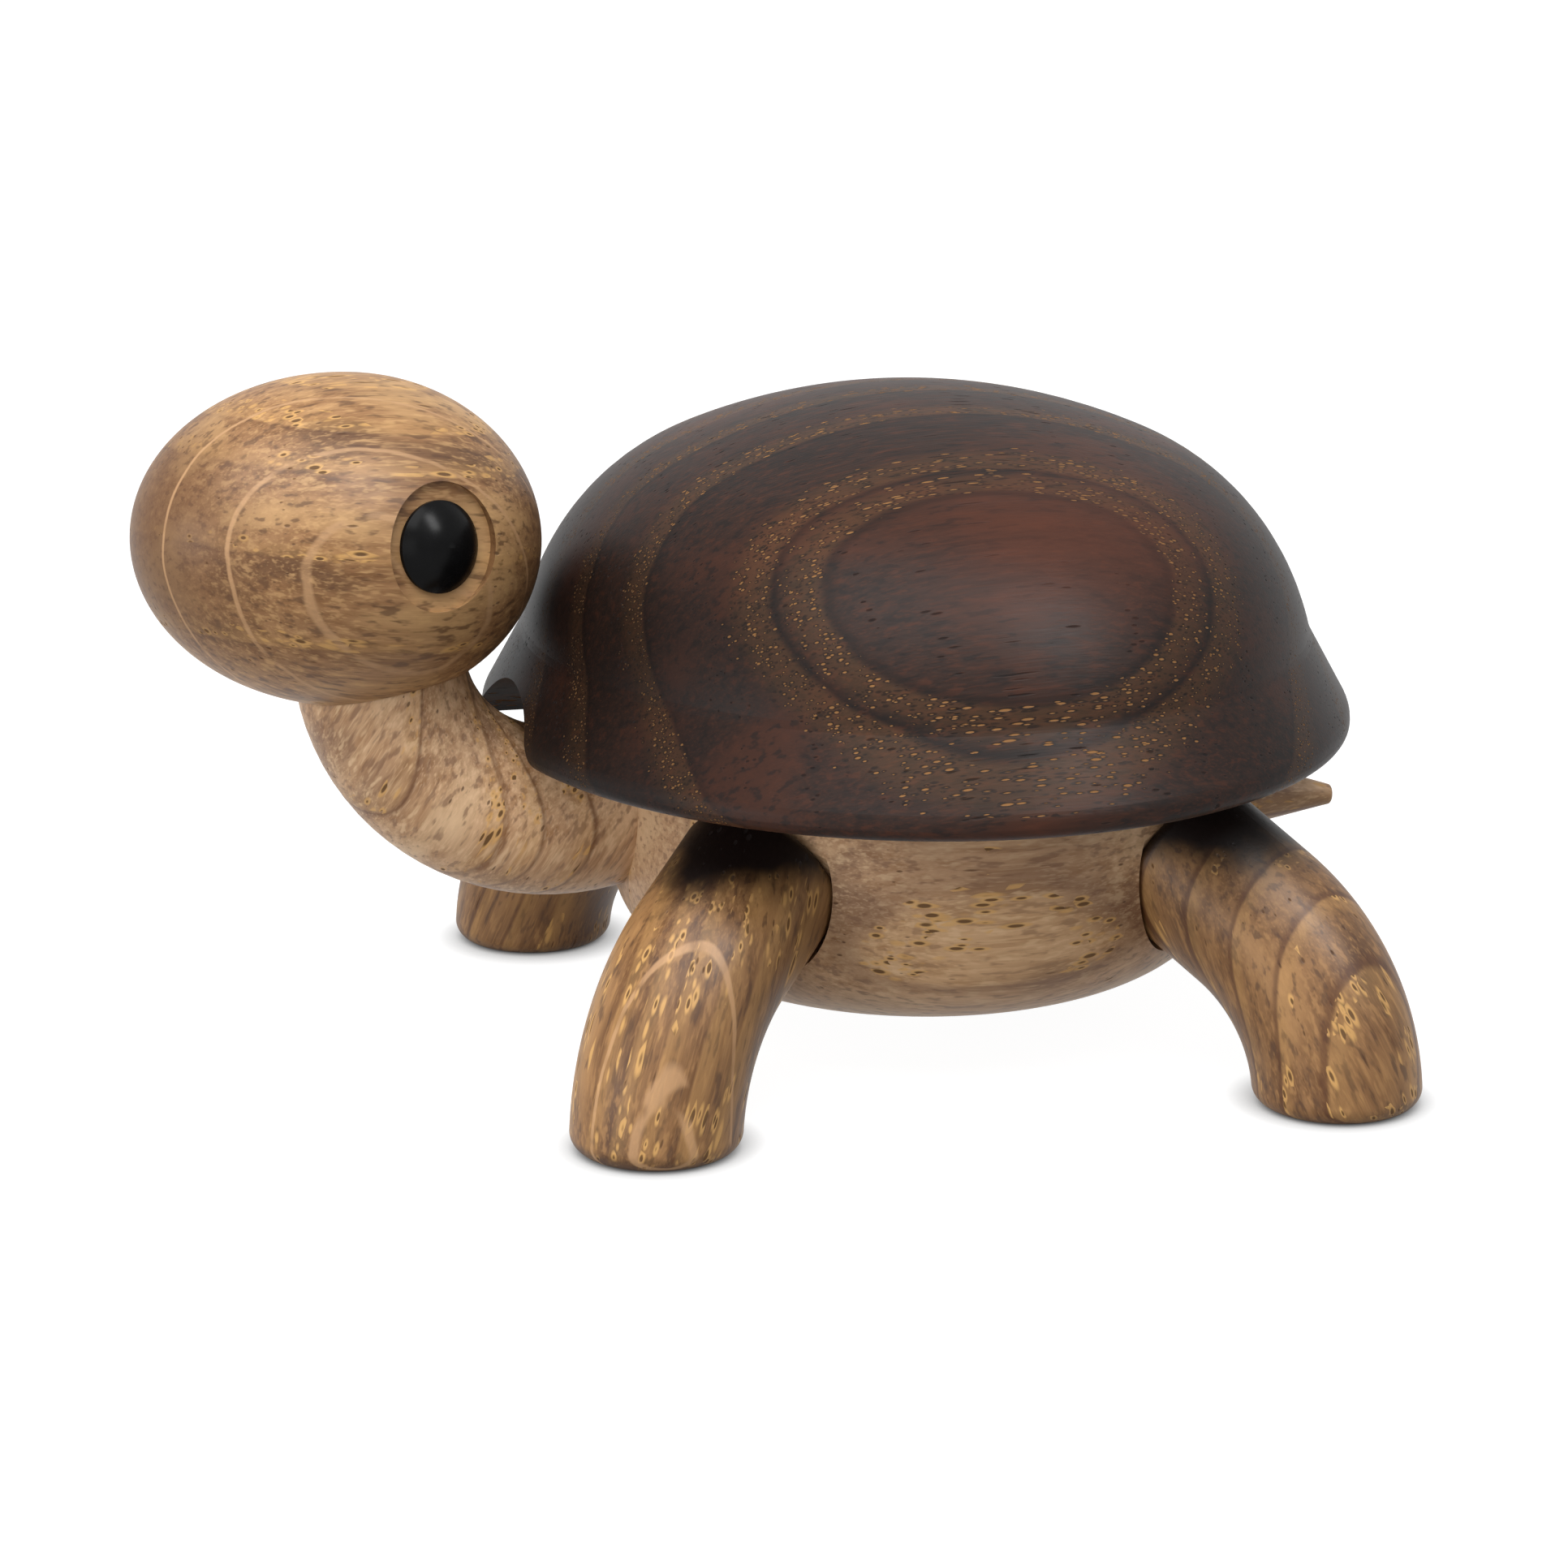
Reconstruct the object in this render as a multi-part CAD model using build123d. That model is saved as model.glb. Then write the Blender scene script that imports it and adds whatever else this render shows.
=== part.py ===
from build123d import *
import os
from math import acos, atan2, cos, degrees, radians, sin, tan

# A small oak turtle with a smoked oak shell that lifts off, in millimetres.
# The ground is z = 0. Pieces are drawn about the body's turning axis, and the whole is then
# moved along Y until the origin lies under the middle of the figure.
# The turtle looks along -Y with its head turned to its left, which is +X.

# Body, a turned bowl with a small compartment inside
body_radius = 23.1
body_bottom = 3.5
body_wall_start = 17.7
body_belly_power = 3.4
body_belly_steps = 9
body_top = 26.6
seat_cone_height = 2.2
seat_cone_angle = 36.0
bowl_wall = 7.9
compartment_floor = 6.0
compartment_corner = 3.0

# Shell, a hollow cap with a flared brim that stands out past the bowl
shell_side_overhang = 11.0
shell_end_overhang = 8.1
shell_height = 23.65
shell_seat_drop = 3.7
shell_forward = 0.7
shell_lip_round = 0.8
shell_lip_height = 1.4
shell_lip_top_round = 2.0
shell_brim = 3.23
shell_waist_height = 6.8
shell_waist_round = 2.0
shell_crown_radius = 51.6
shell_side_radius = 18.8
shell_ledge = 5.2
shell_hollow_corner = 12.0
shell_crown_wall = 5.2
seat_clearance = 0.3
notch_half_width = 8.3
notch_below_neck_top = 1.7
notch_offset = 1.6

# Magnets that hold the shell, one pair on each side
magnet_radius = 1.75
magnet_thickness = 2.0
magnet_wall = 0.85

# Legs, round elbows on four diagonals, each turning on its own dowel
leg_radius = 5.95
leg_stand_out = 11.9
leg_slope = 30.5
leg_bend = 14.2
leg_seat_depth = 1.9
leg_root_round = 0.8
leg_foot_round = 1.3
leg_pocket_clearance = 0.25
front_leg_spread = 45.0
rear_leg_spread = 47.5
leg_dowel_radius = 2.0
leg_dowel_in_body = 4.4
leg_dowel_in_leg = 6.0

# Neck, a round elbow that rises out of the body's front
neck_radius = 6.1
neck_slope = 34.1
neck_bend = 12.6
neck_lean = 3.9
neck_above_rim = 6.0
neck_root_inside = 2.0
neck_dowel_radius = 2.25
neck_dowel_in_body = 6.0
neck_dowel_in_neck = 4.0

# Head, an egg with its long axis raised at the nose, turned to the left at rest
head_radius = 11.7
head_front = 16.5
head_back = 14.4
head_pitch = 12.8
head_turn = 27.0
head_centre_forward = 1.55
head_centre_up = 9.15
head_over_brim = 5.1
head_pocket_clearance = 0.3
pivot_radius = 2.5
pivot_in_neck = 6.0
pivot_in_head = 9.0

# Eyes, domed pegs in flat round recesses
eye_radius = 3.2
eye_edge = 0.3
eye_dome = 1.3
eye_raise = 5.6
eye_recess_radius = 4.5
eye_recess_depth = 1.2
eye_shank_radius = 1.5
eye_shank_length = 6.0

# Tail, a blunt cone with its own tenon
tail_root_radius = 2.9
tail_tip_radius = 0.7
tail_tip_round = 0.3
tail_length = 8.7
tail_height = 15.3
tail_droop = 4.0
tail_seat_depth = 0.5
tail_pocket_clearance = 0.1
tail_tenon_radius = 2.0
tail_tenon_length = 5.0

# Fits that the pieces share
running_clearance = 0.05
end_gap = 0.3
dowel_chamfer = 0.4
overrun = 2.0

# Sizes that follow from those above
seat_cone_inset = seat_cone_height * tan(radians(seat_cone_angle))
body_top_radius = body_radius - seat_cone_inset
compartment_radius = body_radius - bowl_wall
shell_half_width = body_radius + shell_side_overhang
shell_half_length = body_radius + shell_end_overhang
shell_front = shell_half_length + shell_forward
shell_rim_height = body_top - shell_seat_drop
shell_top = shell_rim_height + shell_height
shell_ledge_radius = body_top_radius + seat_clearance
shell_hollow_radius = shell_ledge_radius - shell_ledge
magnet_place_radius = body_top_radius - magnet_wall - magnet_radius
leg_reach = body_radius + leg_stand_out
leg_seat_reach = body_radius - leg_seat_depth
neck_top_reach = shell_front + head_back - head_centre_forward - head_over_brim
neck_top_height = shell_rim_height + neck_above_rim
notch_rise = neck_above_rim - notch_below_neck_top
compartment_bottom = body_bottom + compartment_floor
forward = Rot(0, 0, -90)
rearward = Rot(0, 0, 90)
leg_turns = {
    "front_left": front_leg_spread - 90,
    "front_right": -90 - front_leg_spread,
    "rear_left": 90 - rear_leg_spread,
    "rear_right": 90 + rear_leg_spread,
}


def heading(angle):
    """Direction in the XZ plane at an angle above the horizontal, pointing along +X."""
    return Vector(cos(radians(angle)), 0, sin(radians(angle)))


def side_of(angle):
    """Direction in the XZ plane, a quarter turn to the left of the heading."""
    return Vector(-sin(radians(angle)), 0, cos(radians(angle)))


def bend_points(bend_start, start_angle, bend, turn):
    """Start, middle and end of a tangent arc; a negative turn bends downwards."""
    towards = 1 if turn > 0 else -1
    centre = bend_start + side_of(start_angle) * bend * towards
    points = []
    for share in (0, 0.5, 1):
        points.append(centre - side_of(start_angle + turn * share) * bend * towards)
    return points


def elbow(first_run, bend_start, start_angle, bend, turn, radius):
    """Round bar in the XZ plane: a straight and one tangent bend."""
    arc = bend_points(bend_start, start_angle, bend, turn)
    root = bend_start - heading(start_angle) * first_run
    path = Wire([Line(root, arc[0]), ThreePointArc(*arc)])
    section = Plane(origin=root, z_dir=heading(start_angle)) * Circle(radius)
    return sweep(section, path=path)


def rod(radius, start, angle, length):
    """Plain round bar or hole cutter that starts at a point and runs along a heading."""
    place = Plane(origin=start, z_dir=heading(angle)).location
    return place * extrude(Circle(radius), length)


def dowel(radius, start, angle, length):
    """Round bar with both ends chamfered."""
    bar = rod(radius, start, angle, length)
    return chamfer(bar.edges().filter_by(GeomType.CIRCLE), dowel_chamfer)


def upright_rod(radius, bottom, top):
    """Round bar or hole cutter on the Z axis between two heights."""
    return Pos(0, 0, bottom) * extrude(Circle(radius), top - bottom)


def turned(outline):
    """Solid turned about the Z axis from an outline of radius and height."""
    return revolve(Plane.XZ * make_face(outline), axis=Axis.Z)


# Body

def belly_points():
    """Points of the bowl's side, from its upright wall down to the middle of its belly."""
    depth = body_wall_start - body_bottom
    points = []
    for step in range(body_belly_steps + 1):
        angle = radians(90 * step / body_belly_steps)
        across = max(cos(angle), 0) ** (2 / body_belly_power)
        down = sin(angle) ** (2 / body_belly_power)
        points.append((body_radius * across, body_wall_start - depth * down))
    points[-1] = (0, body_bottom)
    return points


def body_blank():
    """The bowl's outer form, whole, with the cone on which the shell centres itself."""
    cone_foot = body_top - seat_cone_height
    upper = Polyline(
        (0, body_bottom),
        (0, body_top),
        (body_top_radius, body_top),
        (body_radius, cone_foot),
        (body_radius, body_wall_start),
    )
    belly = Spline(*belly_points(), tangents=((0, -1), (-1, 0)))
    return turned(upper.edges() + belly.edges())


def compartment():
    """Space inside the bowl, with a rounded corner at its floor."""
    space = upright_rod(compartment_radius, compartment_bottom, body_top + overrun)
    floor_edge = space.edges().filter_by(GeomType.CIRCLE).sort_by(Axis.Z)[0]
    return fillet(floor_edge, compartment_corner)


def make_body(blank):
    """Bowl with its compartment, leg pockets and bores, tail seat and magnet holes."""
    body = blank - compartment()
    for turn in leg_turns.values():
        body -= Rot(0, 0, turn) * leg_pocket()
        body -= Rot(0, 0, turn) * leg_body_bore()
    body -= forward * neck_dowel_body_bore()
    body -= rearward * tail_pocket()
    for side in (-1, 1):
        body -= magnet(side, body_top - magnet_thickness)
    return body


# Shell

def dome_arcs():
    """Crown and side of the dome, two tangent arcs that end at the waist above the brim."""
    waist = Vector(shell_half_width - shell_brim, shell_waist_height)
    crown_centre = Vector(0, shell_height - shell_crown_radius)
    to_waist = waist - crown_centre
    between_centres = shell_crown_radius - shell_side_radius
    fold = between_centres**2 + to_waist.length**2 - shell_side_radius**2
    fold_angle = acos(fold / (2 * between_centres * to_waist.length))
    crown_angle = degrees(atan2(to_waist.X, to_waist.Y) - fold_angle)
    crown = CenterArc(crown_centre, shell_crown_radius, 90 - crown_angle, crown_angle)
    side_centre = crown_centre + (crown @ 0 - crown_centre) * (between_centres / shell_crown_radius)
    waist_angle = degrees(atan2(waist.Y - side_centre.Y, waist.X - side_centre.X))
    side = CenterArc(side_centre, shell_side_radius, waist_angle, 90 - crown_angle - waist_angle)
    return crown, side


def shell_outer():
    """Outer form of the shell: a rounded lip, a slanted brim above it and a round dome."""
    crown, side = dome_arcs()
    waist = side @ 0
    lip_bottom = (shell_half_width, 0)
    lip_top = (shell_half_width, shell_lip_height)
    brim = Polyline((0, shell_height), (0, 0), lip_bottom, lip_top, waist)
    outline = make_face(brim.edges() + crown.edges() + side.edges())
    rounds = ((lip_bottom, shell_lip_round), (lip_top, shell_lip_top_round), (waist, shell_waist_round))
    for corner, size in rounds:
        outline = fillet(outline.vertices().sort_by_distance(corner)[0], size)
    round_form = revolve(Plane.XZ * outline, axis=Axis.Z)
    oval_form = scale(round_form, by=(1, shell_half_length / shell_half_width, 1))
    return Pos(0, -shell_forward, shell_rim_height) * oval_form


def shell_inside():
    """Space under the shell: a cone that drops over the body's, a ledge and a round-cornered hollow."""
    mouth = shell_rim_height - overrun
    mouth_radius = shell_ledge_radius + (body_top - mouth) * tan(radians(seat_cone_angle))
    ceiling = shell_top - shell_crown_wall
    corner_start = (shell_hollow_radius, ceiling - shell_hollow_corner)
    recess = Polyline(
        (shell_hollow_radius - shell_hollow_corner, ceiling),
        (0, ceiling),
        (0, mouth),
        (mouth_radius, mouth),
        (shell_ledge_radius, body_top),
        (shell_hollow_radius, body_top),
        corner_start,
    )
    corner = JernArc(corner_start, (0, 1), shell_hollow_corner, 90)
    return turned(recess.edges() + corner.edges())


def neck_notch():
    """Round-topped cutter for the arch over the neck, out through the shell's front."""
    arch_radius = (notch_half_width**2 + notch_rise**2) / (2 * notch_rise)
    arch_centre = shell_rim_height + notch_rise - arch_radius
    front = shell_front + overrun
    depth = front - body_top_radius + overrun
    return Pos(notch_offset, -front, arch_centre) * Rot(-90, 0, 0) * extrude(Circle(arch_radius), depth)


def make_shell():
    """Shell with its inside, neck arch and magnet holes."""
    shell = shell_outer() - shell_inside() - neck_notch()
    for side in (-1, 1):
        shell -= magnet(side, body_top)
    return shell


def magnet(side, bottom):
    """Disc magnet at the left or right of the seat; it also cuts its own hole."""
    disc = upright_rod(magnet_radius, bottom, bottom + magnet_thickness)
    return Pos(side * magnet_place_radius, 0, 0) * disc


# Legs, drawn in the XZ plane with the foot outwards along +X

def leg_bend_start():
    """Where the leg's straight stub ends and its elbow starts."""
    across = leg_reach - leg_bend * (1 - sin(radians(leg_slope)))
    up = leg_bend * cos(radians(leg_slope))
    return Vector(across, 0, up)


def leg_stub():
    """Length of the straight stub, from the leg's seat in the body to its elbow."""
    return (leg_bend_start().X - leg_seat_reach) / cos(radians(leg_slope))


def leg_root():
    """Centre of the leg's flat inner end."""
    return leg_bend_start() - heading(-leg_slope) * leg_stub()


def make_leg():
    """Elbow with a rounded foot and a bore for its dowel."""
    leg = elbow(leg_stub(), leg_bend_start(), -leg_slope, leg_bend, leg_slope - 90, leg_radius)
    rings = leg.edges().filter_by(GeomType.CIRCLE).filter_by(lambda ring: ring.is_closed)
    leg = fillet(rings.sort_by(Axis.Z)[0], leg_foot_round)
    rings = leg.edges().filter_by(GeomType.CIRCLE).filter_by(lambda ring: ring.is_closed)
    leg = fillet(rings.sort_by(Axis.X)[0], leg_root_round)
    return leg - rod(leg_dowel_radius, leg_root(), -leg_slope, leg_dowel_in_leg)


def leg_pocket():
    """Round seat in the bowl's side for the leg's inner end."""
    return rod(leg_radius + leg_pocket_clearance, leg_root(), -leg_slope, leg_radius + overrun)


def leg_body_bore():
    """Bore in the bowl in which the leg's dowel turns, a little longer than the dowel."""
    depth = leg_dowel_in_body + end_gap
    start = leg_root() - heading(-leg_slope) * depth
    return rod(leg_dowel_radius + running_clearance, start, -leg_slope, depth + overrun)


def make_leg_dowel():
    """Dowel glued in the leg, turning in the body."""
    start = leg_root() - heading(-leg_slope) * leg_dowel_in_body
    return dowel(leg_dowel_radius, start, -leg_slope, leg_dowel_in_body + leg_dowel_in_leg)


# Neck, drawn in the XZ plane with the front along +X

neck_turn = neck_slope + 90 - neck_lean


def neck_bend_start():
    """Where the neck's straight root ends and its elbow starts."""
    across = neck_bend * (sin(radians(90 - neck_lean)) + sin(radians(neck_slope)))
    up = neck_bend * (cos(radians(neck_slope)) - cos(radians(90 - neck_lean)))
    return Vector(neck_top_reach - across, 0, neck_top_height - up)


def neck_seat():
    """Centre of the neck's flat upper end, on the head's turning axis."""
    return Vector(neck_top_reach, 0, neck_top_height)


def make_neck(blank):
    """Elbow whose root is shaped to the bowl, with bores for its dowel and the head's pivot."""
    neck = elbow(neck_root_inside, neck_bend_start(), -neck_slope, neck_bend, neck_turn, neck_radius)
    neck = forward * neck - blank
    neck -= forward * neck_dowel_cutter()
    neck -= forward * rod(pivot_radius, neck_seat(), -90 - neck_lean, pivot_in_neck)
    return neck


def neck_dowel_start():
    """Centre of the neck dowel's inner end, counted from where its axis leaves the bowl's side."""
    bend_start = neck_bend_start()
    to_side = (body_radius - bend_start.X) / cos(radians(neck_slope))
    return bend_start + heading(-neck_slope) * (to_side - neck_dowel_in_body)


def neck_dowel_cutter():
    """Room for the neck dowel, through the root and into the neck."""
    return rod(neck_dowel_radius, neck_dowel_start(), -neck_slope, neck_dowel_in_body + neck_dowel_in_neck)


def neck_dowel_body_bore():
    """Bore in the bowl's front for the neck dowel."""
    length = neck_dowel_in_body + neck_dowel_in_neck
    return rod(neck_dowel_radius, neck_dowel_start(), -neck_slope, length)


def make_neck_dowel():
    """Dowel glued in the body and the neck."""
    length = neck_dowel_in_body + neck_dowel_in_neck
    return forward * dowel(neck_dowel_radius, neck_dowel_start(), -neck_slope, length)


# Head, drawn on its turning axis with its nose along +X

def on_neck():
    """Placement of what is drawn on the head's turning axis, above the neck's upper end."""
    return forward * Pos(neck_seat()) * Rot(0, neck_lean, 0) * Rot(0, 0, head_turn)


def egg_place():
    """Placement of the egg's widest section in the head's drawing."""
    return Pos(head_centre_forward, 0, head_centre_up) * Rot(0, -head_pitch, 0)


def egg():
    """Egg turned about X, with its widest section at the origin."""
    nose = EllipticalCenterArc((0, 0), head_front, head_radius, start_angle=0, arc_size=90)
    back = EllipticalCenterArc((0, 0), head_back, head_radius, start_angle=90, arc_size=90)
    middle = Line((-head_back, 0), (head_front, 0))
    return revolve(make_face(nose.edges() + back.edges() + middle.edges()), axis=Axis.X)


def eye_place(side):
    """Placement of an eye drawn upright on its recess's floor, on the left or right side."""
    outwards = Rot(-side * (90 - eye_raise), 0, 0)
    return egg_place() * outwards * Pos(0, 0, head_radius - eye_recess_depth)


def eye_room():
    """Flat recess and shank bore for one eye."""
    recess = upright_rod(eye_recess_radius, 0, eye_recess_depth + overrun)
    return recess + upright_rod(eye_shank_radius, -eye_shank_length, 0)


def make_head():
    """Egg with its neck pocket, pivot bore and two eye recesses."""
    head = egg_place() * egg()
    head -= upright_rod(neck_radius + head_pocket_clearance, -head_radius, 0)
    head -= upright_rod(pivot_radius + running_clearance, -overrun, pivot_in_head + end_gap)
    for side in (-1, 1):
        head -= eye_place(side) * eye_room()
    return on_neck() * head


def make_head_pivot():
    """Dowel glued in the neck, on which the head turns."""
    pin = upright_rod(pivot_radius, -pivot_in_neck, pivot_in_head)
    return on_neck() * chamfer(pin.edges().filter_by(GeomType.CIRCLE), dowel_chamfer)


def make_eye(side):
    """Domed peg with a shank."""
    outline = Polyline(
        (0, eye_edge + eye_dome),
        (0, -eye_shank_length),
        (eye_shank_radius, -eye_shank_length),
        (eye_shank_radius, 0),
        (eye_radius, 0),
        (eye_radius, eye_edge),
    )
    dome_radius = (eye_radius**2 + eye_dome**2) / (2 * eye_dome)
    dome = RadiusArc((eye_radius, eye_edge), (0, eye_edge + eye_dome), -dome_radius)
    return on_neck() * eye_place(side) * turned(outline.edges() + dome.edges())


# Tail, drawn on the Z axis and laid along +X

def tail_seat():
    """Centre of the tail's flat root in the XZ plane."""
    return Vector(body_radius - tail_seat_depth, 0, tail_height)


def make_tail():
    """Blunt cone with a rounded tip and a tenon."""
    cone = Polyline(
        (0, tail_length),
        (0, -tail_tenon_length),
        (tail_tenon_radius, -tail_tenon_length),
        (tail_tenon_radius, 0),
        (tail_root_radius, 0),
        (tail_tip_radius, tail_length),
        close=True,
    )
    tail = turned(cone.edges())
    tip = tail.edges().filter_by(GeomType.CIRCLE).sort_by(Axis.Z)[-1]
    tail = fillet(tip, tail_tip_round)
    return rearward * Plane(origin=tail_seat(), z_dir=heading(-tail_droop)).location * tail


def tail_pocket():
    """Shallow round seat and tenon bore in the bowl's rear."""
    seat = rod(tail_root_radius + tail_pocket_clearance, tail_seat(), -tail_droop, tail_seat_depth + overrun)
    bore_start = tail_seat() - heading(-tail_droop) * tail_tenon_length
    return seat + rod(tail_tenon_radius, bore_start, -tail_droop, tail_tenon_length)


def build_pieces():
    """Every piece by its node name."""
    blank = body_blank()
    pieces = {
        "body": make_body(blank),
        "shell": make_shell(),
        "neck": make_neck(blank),
        "neck_dowel": make_neck_dowel(),
        "head": make_head(),
        "head_pivot": make_head_pivot(),
        "tail": make_tail(),
    }
    for name, side in (("left", 1), ("right", -1)):
        pieces["eye_" + name] = make_eye(side)
        pieces["body_magnet_" + name] = magnet(side, body_top - magnet_thickness)
        pieces["shell_magnet_" + name] = magnet(side, body_top)
    leg = make_leg()
    leg_dowel = make_leg_dowel()
    for corner, turn in leg_turns.items():
        pieces["leg_" + corner] = Rot(0, 0, turn) * leg
        pieces["leg_dowel_" + corner] = Rot(0, 0, turn) * leg_dowel
    return pieces


def over_origin(pieces):
    """The pieces moved along Y so that the middle of the whole figure is over the origin."""
    boxes = [piece.bounding_box() for piece in pieces.values()]
    front = min(box.min.Y for box in boxes)
    rear = max(box.max.Y for box in boxes)
    return {name: Pos(0, -(front + rear) / 2, 0) * piece for name, piece in pieces.items()}


os.makedirs("parts", exist_ok=True)
for node, piece in over_origin(build_pieces()).items():
    export_step(piece, "parts/" + node + ".step")
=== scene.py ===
"""A turtle figurine in turned oak, with a smoked shell that lifts off its hollow body.

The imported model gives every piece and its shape. This script gives each one its wood,
resin or metal finish, and sets the table, the lamps and the camera round it.
"""

import logging
import math
import random
from collections.abc import Mapping, Sequence
from dataclasses import dataclass, field, replace
from enum import Enum
from typing import Any, Union

import bpy
from mathutils import Euler, Matrix, Vector


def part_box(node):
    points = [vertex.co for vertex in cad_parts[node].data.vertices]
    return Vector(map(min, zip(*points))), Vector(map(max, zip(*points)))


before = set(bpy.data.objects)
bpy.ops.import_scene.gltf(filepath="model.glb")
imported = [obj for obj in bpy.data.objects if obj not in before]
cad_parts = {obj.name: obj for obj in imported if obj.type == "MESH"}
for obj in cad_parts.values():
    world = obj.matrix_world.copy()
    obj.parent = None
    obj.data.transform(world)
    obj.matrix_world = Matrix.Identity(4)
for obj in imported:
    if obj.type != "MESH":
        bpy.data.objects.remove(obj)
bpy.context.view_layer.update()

log = logging.getLogger("turtle")

MM = 0.001
Point = tuple[float, float, float]
Span = tuple[float, float]
Curve = Sequence[Span]
Signal = Union[bpy.types.Node, bpy.types.NodeSocket]


class PoreLook(Enum):
    """How the pores of a piece of oak look once it is finished."""

    OPEN_PITS = "pits left open, darker than the wood round them"
    FILLED_FLECKS = "pores that kept their light filling, brighter than the wood"


def linear(code: str) -> tuple[float, float, float, float]:
    """Turns an sRGB hex colour into the linear colour that a shader reads.

    Args:
        code: The colour as "#rrggbb".

    Returns:
        Red, green and blue, linear, and a full alpha.
    """
    parts = [int(code[i : i + 2], 16) / 255 for i in (1, 3, 5)]
    red, green, blue = (
        part / 12.92 if part <= 0.04045 else ((part + 0.055) / 1.055) ** 2.4
        for part in parts
    )
    return red, green, blue, 1.0


def add_node(
    tree: bpy.types.NodeTree,
    kind: str,
    inputs: Mapping[str | int, Any] | Sequence[Any] = (),
    **settings: Any,
) -> bpy.types.Node:
    """Adds one shader node, sets its properties, and links or fills its sockets.

    Args:
        tree: The node tree that takes the node.
        kind: Blender's name for the node, without its "ShaderNode".
        inputs: What goes into the sockets, in their order, or by name or number. A node
            stands for its first output.
        **settings: Properties of the node itself.

    Returns:
        The node.
    """
    made = tree.nodes.new(f"ShaderNode{kind}")
    for name, value in settings.items():
        setattr(made, name, value)
    pairs = inputs.items() if isinstance(inputs, Mapping) else enumerate(inputs)
    for name, value in pairs:
        source = value.outputs[0] if isinstance(value, bpy.types.Node) else value
        if isinstance(source, bpy.types.NodeSocket):
            tree.links.new(source, made.inputs[name])
        else:
            made.inputs[name].default_value = source
    return made


def start_material(name: str) -> bpy.types.Material:
    """Starts a material whose node tree is empty."""
    made = bpy.data.materials.new(name)
    made.use_nodes = True
    made.node_tree.nodes.clear()
    return made


def on_frame(point: Point) -> Vector:
    """Moves a point from the body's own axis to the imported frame.

    Args:
        point: A place in millimetres from the body's turning axis and the table.

    Returns:
        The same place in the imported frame, in millimetres.
    """
    low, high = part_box("body")
    return Vector(point) + Vector((0.0, (low.y + high.y) / 2 / MM, 0.0))


# No two years are the same width: each ring is this share of the usual one.
YEARLY_SWING = (0.8, 1.2)
YEARS_SEED = 7


@dataclass(frozen=True)
class Growth:
    """How one blank was cut from the tree: its fibres, its rings and its rays.

    Places are in millimetres from the body's turning axis and the table, and radii in
    millimetres from the pith line, which runs through `pith` along `fibre`. `bow` and
    `tilt` bend that line. `wander` is how far a ring strays from its circle. The rays
    have a line of their own, and `glow_at` is where the stain went on thin.
    """

    fibre: Point
    pith: Point
    ring_starts: tuple[float, ...]
    ring_spacing: float
    reach: Span
    pore_band: float = 1.3
    bow: float = 0.0
    tilt: float = 0.0
    wander: float = 0.35
    line_strength: float = 0.6
    ring_depth: float = 1.0
    end_depth: float = 1.0
    ray_fibre: Point = (0.0, 0.0, 1.0)
    ray_pith: Point = (0.0, 0.0, 0.0)
    ray_radii: tuple[float, ...] = ()
    ray_width: float = 0.12
    glow_at: Point | None = None
    glow_size: float = 9.0

    def all_starts(self) -> list[float]:
        """Lists where each ring's pore band starts, within reach.

        Returns:
            Radii: those read off the photograph, and ordinary years on both sides.
        """
        starts = list(self.ring_starts)
        draw = random.Random(YEARS_SEED)
        low, high = self.reach
        outer = max(starts)
        while outer < high:
            outer += self.ring_spacing * draw.uniform(*YEARLY_SWING)
            starts.append(outer)
        inner = min(starts)
        while inner > low and inner > self.ring_spacing:
            inner -= self.ring_spacing * draw.uniform(*YEARLY_SWING)
            starts.append(inner)
        return sorted(start for start in starts if low < start < high)


@dataclass(frozen=True)
class OakFinish:
    """One finish on wood: its colours, its pores and its sheen.

    Lengths and widths are in millimetres along and across the fibres. A share says how
    much of a tint shows, or which part of the possible pores is there.
    """

    early: str
    late: str
    line: str
    pale: str
    dusk: str
    end: str
    pore: str
    pore_rim: str
    ray: str
    glow: str = "#c39a70"
    pores: PoreLook = PoreLook.OPEN_PITS
    pore_width: float = 0.46
    pore_length: float = 2.4
    pore_share: float = 0.75
    stray_width: float = 0.3
    stray_length: float = 4.0
    stray_share: float = 0.06
    streak_width: float = 0.6
    streak_length: float = 14.0
    streak_contrast: float = 2.6
    ring_contrast: float = 0.45
    band_share: float = 0.15
    end_share: float = 0.8
    roughness: float = 0.4
    roughness_spread: float = 0.12
    specular: float = 0.3
    relief: float = 0.06
    clouds: float = 6.0


# Oak turned, sanded fine and oiled: golden tan and satin, with open pores, and with end
# grain that drank the oil and went dark.
OILED_OAK = OakFinish(
    early="#a47a52",
    late="#754e2b",
    line="#4f2c14",
    pale="#cda370",
    dusk="#553823",
    end="#5a3c25",
    pore="#43260f",
    pore_rim="#d8a866",
    ray="#c49a70",
)

# The body's, the neck's and the tail's oak: a paler, greyer copy of the head's, partly
# painted light for the fill that reaches them under the shell.
PALE_OAK_AND_PAINTED_FILL = replace(
    OILED_OAK,
    early="#cda680",
    late="#9c714b",
    pale="#e6c49c",
    dusk="#84624a",
    end="#8a6849",
    line="#5e371c",
)

# The legs' oak: a darker, browner copy of the head's, partly painted shade.
DARK_OAK_AND_PAINTED_SHADE = replace(
    OILED_OAK,
    early="#88633f",
    late="#5d3b1e",
    pale="#a67c4f",
    dusk="#4b3221",
    end="#4b311f",
)

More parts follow.
